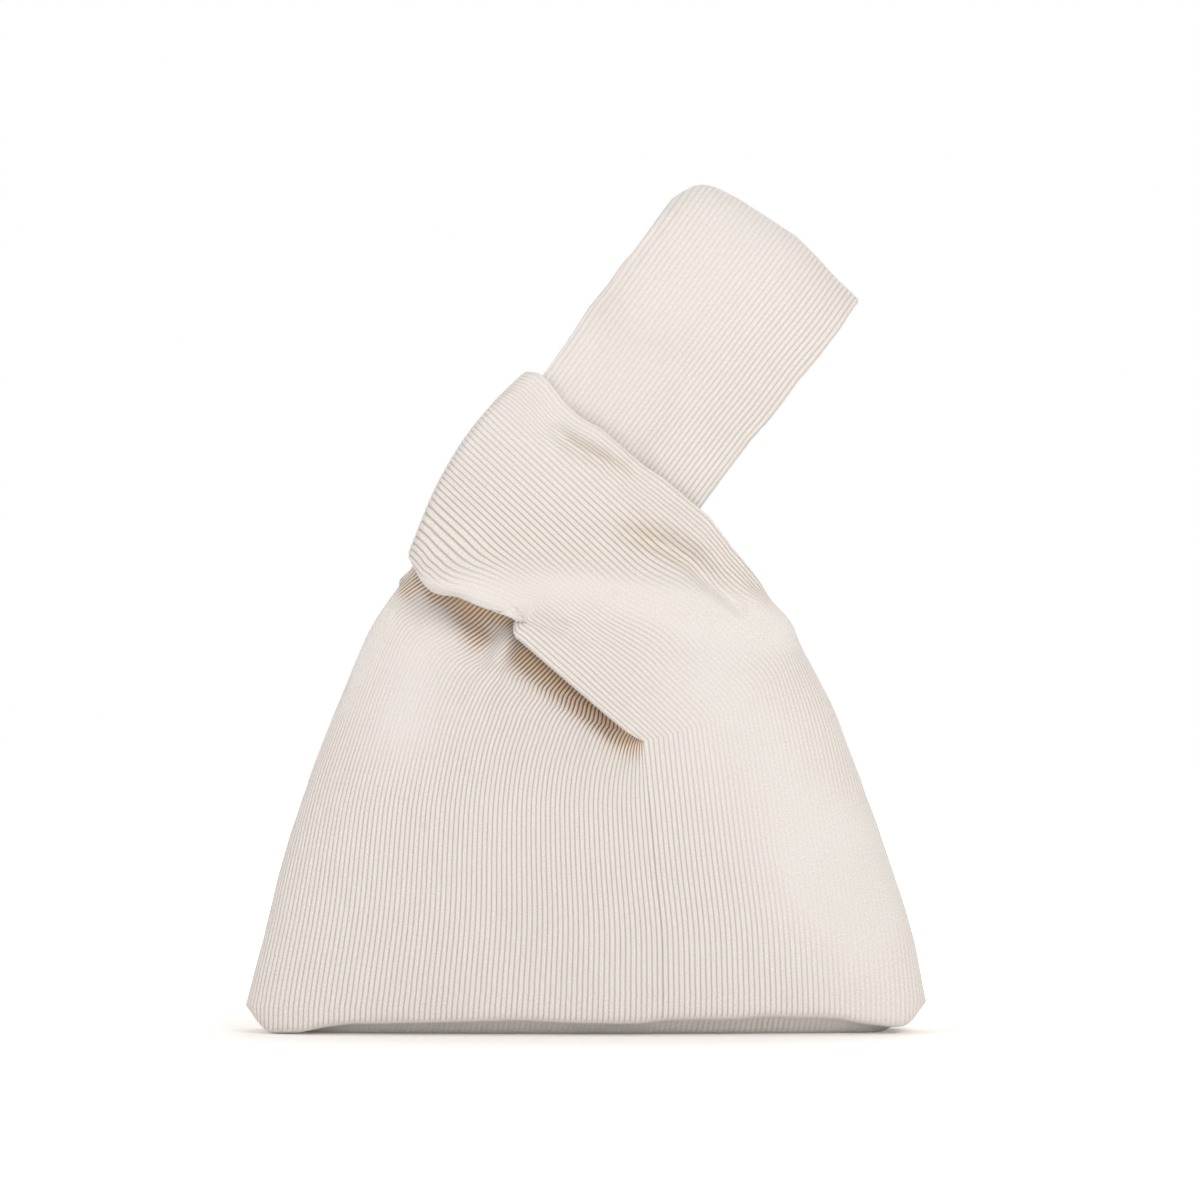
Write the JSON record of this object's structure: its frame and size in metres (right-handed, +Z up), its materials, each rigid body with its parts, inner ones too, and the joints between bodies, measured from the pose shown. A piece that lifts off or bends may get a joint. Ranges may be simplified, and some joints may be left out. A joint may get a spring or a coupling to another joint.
{
  "type": "knotted wristlet bag",
  "caption": "Soft lined corduroy pouch; its long handle is drawn through the short one, which closes the mouth, and ends in a flat wrist loop.",
  "frame": {"origin": "on the surface that the bag stands on, under the middle of its base", "axes": "+Z up, +X to the right as seen from the front, the front faces -Y"},
  "size_m": [0.23, 0.0586, 0.2878],
  "materials": {
    "corduroy": "matte fine-wale cotton corduroy",
    "lining": "plain woven cotton",
    "seam_allowance": "pressed corduroy edge"
  },
  "bodies": {
    "pouch": {"outer_front_panel": "corduroy", "outer_back_panel": "corduroy", "lining_front_panel": "lining", "lining_back_panel": "lining", "left_side_seam": "seam_allowance", "right_side_seam": "seam_allowance", "bottom_seam": "seam_allowance", "short_handle_front": "corduroy", "short_handle_back": "corduroy", "short_handle_front_lining": "lining", "short_handle_back_lining": "lining", "short_handle_seam": "seam_allowance"},
    "handle_neck": {"long_handle_neck_front": "corduroy", "long_handle_neck_back": "corduroy", "long_handle_neck_front_lining": "lining", "long_handle_neck_back_lining": "lining"},
    "wrist_loop": {"wrist_loop_front": "corduroy", "wrist_loop_back": "corduroy", "wrist_loop_front_lining": "lining", "wrist_loop_back_lining": "lining", "wrist_loop_seam": "seam_allowance"}
  },
  "joints": [
    {"name": "handle_draw", "type": "slide", "parent": "pouch", "child": "handle_neck", "axis": [0.5983, 0, 0.8013], "range_m": [-0.004, 0.01]},
    {"name": "wrist_loop_flop", "type": "hinge", "parent": "handle_neck", "child": "wrist_loop", "pos_m": [0.01731, 0, 0.20607], "axis": [0.8013, 0, -0.5983], "range_deg": [-80, 80]}
  ]
}
